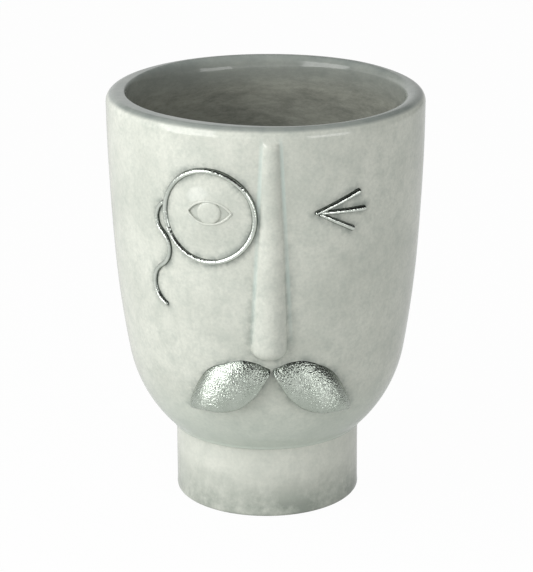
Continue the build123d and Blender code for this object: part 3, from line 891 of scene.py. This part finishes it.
def moustache_half(mirrored):
    """The right half, or the left half if mirrored."""
    bm = bmesh.new()
    satin_layer, edge_layer = (bm.verts.layers.float.new(name) for name in ("satin_zone", "film_edge_and_shade"))
    bmesh.ops.create_uvsphere(bm, u_segments=96, v_segments=80, radius=1, matrix=ALONG_X)
    middle_radius = skin(MOUSTACHE_LOW + MOUSTACHE_HEIGHT / 2)[0]
    half = "left" if mirrored else "right"
    for vert in bm.verts:
        share = SECTIONS[-1][0] * math.acos(max(-1.0, min(1.0, -vert.co.x))) / math.pi
        ring_radius = math.hypot(vert.co.y, vert.co.z) or 1.0
        up, out = vert.co.y / ring_radius, vert.co.z / ring_radius
        low, high, rise = section_at(share)
        high += SHOULDERS[half] * max(0.0, 1 - ((share - SHOULDER_AT) / SHOULDER_HALF) ** 2)
        height = MOUSTACHE_LOW + MOUSTACHE_HEIGHT * ((low + high) / 2 + up * (high - low) / 2)
        height -= TILT * share * MOUSTACHE_SPAN * (-1 if mirrored else 1)
        radius, normal = skin(height)
        stand = rise * MOUSTACHE_RISE * swell(up) if out > 0 else MOUSTACHE_ROOT * out
        vert[satin_layer] = 1.0
        # Painted contact shade, with thinner film, near the wall and at the parting between the halves
        vert[edge_layer] = clamp(max(1.0 - stand / THIN_SHADED_STAND, 1.0 - share / THIN_SHADED_PARTING))
        turn = (MOUSTACHE_GAP / 2 + share * MOUSTACHE_SPAN) / middle_radius
        reach = radius - MOUSTACHE_SINK + stand * normal.x
        vert.co = (reach * math.sin(turn), -reach * math.cos(turn), height + stand * normal.y)
        vert.co += LUMP * noise.noise_vector(vert.co / LUMP_SIZE) * max(0.0, out)
    if mirrored:
        bmesh.ops.scale(bm, vec=(-1, 1, 1), verts=bm.verts)
    return make_piece(bm, f"{half}_moustache_pillow", f"moustache_{half}", *SILVERED)


noise.seed_set(LUMP_SEED)  # unseeded, the lumps differ each run
silver_pieces += [moustache_half(mirrored) for mirrored in (False, True)]

# %% [markdown]
# ## Wash and painted contact shade beside the relief
# Before the lustre was fired, a thin grey wash was brushed over the face and wiped off, and
# it stayed beside everything that stands out; painted contact shade is laid there with it. How
# near a point of the wall is to the relief tells how dark it is there; a tree of the relief's
# points finds the nearest one quickly.

# %% Mark how much wash and painted contact shade lie on the wall, the nose and the lens
WASH_SHADE_REACH, NOSE_WASH_SHADE_REACH, NOSE_STANDS_OUT = 1.7 * MM, 3.0 * MM, 1.4
LUSTRE_WASH_SHADE, NOSE_WASH_SHADE = 0.75, 0.8
# Beside the nose the wash and painted shade fade in downwards, and the brow has none
NOSE_WASH_SHADE_TOP, NOSE_WASH_SHADE_FADE, BARE_BROW = 165.0 * MM, 80.0 * MM, 12.0


def stands_out(vert):
    """Height of the nose at a vertex, in millimetres."""
    return nose_height(vert.co.x / MM, vert.co.z / MM)


def nearest_finder(points):
    """A function for the distance to the nearest of these points."""
    finder = kdtree.KDTree(len(points))
    for index, point in enumerate(points):
        finder.insert(point, index)
    finder.balance()
    return lambda point: finder.find(point)[2]


lustre_points = [vert.co for piece in silver_pieces for vert in piece.data.vertices]
nose_points = [vert.co for vert in nose.data.vertices
               if vert.co.z < (NOSE_TOP - BARE_BROW) * MM and stands_out(vert) > NOSE_STANDS_OUT]
to_lustre, to_nose = nearest_finder(lustre_points), nearest_finder(nose_points)
# Painted contact shade and wash, fading with distance from the lustre and the nose
for piece in (bowl, nose, lens):
    values = []
    for vert in piece.data.vertices:
        beside_lustre = math.exp(-((to_lustre(vert.co) / WASH_SHADE_REACH) ** 2))
        beside_nose = math.exp(-((to_nose(vert.co) / NOSE_WASH_SHADE_REACH) ** 2))
        beside_nose *= ease((NOSE_WASH_SHADE_TOP - vert.co.z) / NOSE_WASH_SHADE_FADE)
        if piece is nose:
            beside_nose *= 1 - ease(stands_out(vert) / NOSE_STANDS_OUT)
        values.append(max(LUSTRE_WASH_SHADE * beside_lustre, NOSE_WASH_SHADE * beside_nose if piece is not lens else 0.0))
    wash_shade_layer = piece.data.attributes.new("wash_and_contact_shade", "FLOAT", "POINT")
    wash_shade_layer.data.foreach_set("value", values)
    print(piece.name, "wash up to", round(max(values), 2))

# %% [markdown]
# ## Stage and light
# The photograph is a plain product shot: a white table, a soft box on each side and a dark
# room above. The table glows for the camera and in reflections, and is plain card to the
# rest. The world gives soft fill light, and is dark overhead where silver sees it.

# %% White table
# How much of the table is glow to the camera and in reflections
CAMERA_GLOW, MIRROR_GLOW = 0.975, 0.45

table_mesh = bpy.data.meshes.new("white_table")
bm = bmesh.new()
bmesh.ops.create_grid(bm, x_segments=1, y_segments=1, size=3.0)
bm.to_mesh(table_mesh)
bm.free()
table = bpy.data.objects.new("white_table", table_mesh)
scene.collection.objects.link(table)
table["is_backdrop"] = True

white_card, tree = new_material("white_card")
rays = add(tree, "LightPath")
mirrored = add(tree, "Math", {0: rays.outputs["Is Glossy Ray"], 1: rays.outputs["Is Transmission Ray"]},
               operation="MAXIMUM")
mirrored = add(tree, "Math", {0: mirrored, 1: MIRROR_GLOW}, operation="MULTIPLY")
share = add(tree, "Math", {0: rays.outputs["Is Camera Ray"], 1: CAMERA_GLOW}, operation="MULTIPLY")
share = add(tree, "Math", {0: share, 1: mirrored}, operation="MAXIMUM")
card = add(tree, "BsdfDiffuse", {"Color": linear("#cccecb")})
glow = add(tree, "Emission", {"Color": linear("#ffffff")})
mixed = add(tree, "MixShader", {0: share, 1: card, 2: glow})
add(tree, "OutputMaterial", {"Surface": mixed})
table_mesh.materials.append(white_card)
print(table.name, len(tree.nodes), "nodes")

# %% World
# Tilt of the dark ceiling, lower in front, and slant of the dark right side
CEILING_TILT, SIDE_SLANT = -0.08, -1.2

world = bpy.data.worlds.new("studio")
scene.world = world
world.use_nodes = True
tree = world.node_tree
tree.nodes.clear()
rays = add(tree, "LightPath")
across, depth, height = add(tree, "SeparateXYZ", {0: add(tree, "TexCoord").outputs["Generated"]}).outputs
# Silver sees a room that is paler on the left, both in front and behind
front = add(tree, "MapRange", {
    "Value": across, "From Min": 0.35, "From Max": 0.65, "To Min": 0.85, "To Max": 0.3})
back = add(tree, "MapRange", {"Value": across, "From Max": 0.9, "To Min": 0.70, "To Max": 0.08})
behind = add(tree, "MapRange", {
    "Value": depth, "From Min": -0.3, "From Max": 0.3, "To Min": front, "To Max": back})
ceiling = add(tree, "Math", {0: depth, 1: CEILING_TILT, 2: height}, operation="MULTIPLY_ADD")
overhead = add(tree, "MapRange", {
    "Value": ceiling, "From Min": 0.24, "From Max": 0.42,
    "To Min": 1.0, "To Max": 0.04}, interpolation_type="SMOOTHSTEP")
mirrored = add(tree, "Math", {0: behind, 1: overhead}, operation="MULTIPLY")
# Everything else gets the least light from low on the right
low_right = add(tree, "Math", {0: height, 1: SIDE_SLANT, 2: across}, operation="MULTIPLY_ADD")
soft = add(tree, "MapRange", {
    "Value": low_right, "From Min": 0.1, "From Max": 0.7, "To Min": 0.56, "To Max": 0.05})
fill = add(tree, "Mix", {MIX_FACTOR: rays.outputs["Is Glossy Ray"], NUMBER_A: soft, NUMBER_B: mirrored},
           data_type="FLOAT")
level = add(tree, "Mix", {MIX_FACTOR: rays.outputs["Is Camera Ray"], NUMBER_A: fill, NUMBER_B: 1.0},
            data_type="FLOAT")
sky = add(tree, "Background", {"Color": linear("#ffffff"), "Strength": level})
add(tree, "OutputWorld", {"Surface": sky})
print(world.name, len(tree.nodes), "nodes")

# %% Soft boxes
AIM = Vector((0, 0, 0.12))


def soft_box(name, azimuth, elevation, distance, width, height, power, lean=0):
    """A rectangular lamp that faces the pot, at degrees round from the front and up; its top may lean."""
    azimuth, elevation = math.radians(azimuth), math.radians(elevation)
    level = math.cos(elevation)
    away = Vector((math.sin(azimuth) * level, -math.cos(azimuth) * level, math.sin(elevation)))
    lamp = bpy.data.lights.new(name, "AREA")
    lamp.shape = "RECTANGLE"
    lamp.size, lamp.size_y = width, height
    lamp.energy = power
    box = bpy.data.objects.new(name, lamp)
    box.location = AIM + distance * away
    leaning = Quaternion((0, 0, 1), math.radians(lean))
    box.rotation_euler = (away.to_track_quat("Z", "Y") @ leaning).to_euler()
    scene.collection.objects.link(box)
    print(f"{name}: {power} W at {azimuth:.2f} rad")


soft_box("key_soft_box", azimuth=-58, elevation=24, distance=0.58, width=0.40, height=0.60,
         power=2.95, lean=18)
soft_box("fill_soft_box", azimuth=41, elevation=8, distance=0.80, width=0.42, height=0.32, power=1.3)

# %% [markdown]
# ## Camera
# The camera stands where the photograph was taken: nearly straight in front, about a metre
# away, looking some 18 degrees down through a long lens. It was found by fitting the lip,
# the foot and the silhouette.

# %% Camera
PHOTO_LONG_SIDE = 572
FOCAL_PIXELS, SENSOR = 2408.1, 36.0
CAMERA_AWAY, CAMERA_HEIGHT = 0.9648, 0.4113
turn, pitch, roll = (math.radians(angle) for angle in (-1.8, 18.47, -0.28))

level_right = Vector((math.cos(turn), math.sin(turn), 0))
forward = Vector((-math.sin(turn) * math.cos(pitch), math.cos(turn) * math.cos(pitch), -math.sin(pitch)))
right = math.cos(roll) * level_right + math.sin(roll) * level_right.cross(forward)
up = right.cross(forward)
lens_data = bpy.data.cameras.new("photo_camera")
lens_data.sensor_width = SENSOR
lens_data.lens = FOCAL_PIXELS * SENSOR / PHOTO_LONG_SIDE
camera = bpy.data.objects.new("photo_camera", lens_data)
camera.matrix_world = Matrix((right, up, -forward)).transposed().to_4x4()
camera.location = (CAMERA_AWAY * math.sin(turn), -CAMERA_AWAY * math.cos(turn), CAMERA_HEIGHT)
scene.collection.objects.link(camera)
scene.camera = camera
scene.view_settings.view_transform = "Standard"
print(f"lens {lens_data.lens:.1f} mm")

# %% Compare the boxes and finish
visual_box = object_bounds()
for axis in range(3):
    gaps = [round((visual_box[end][axis] - cad_box[end][axis]) / MM, 2) for end in (0, 1)]
    print("xyz"[axis], gaps, "mm off the CAD box")
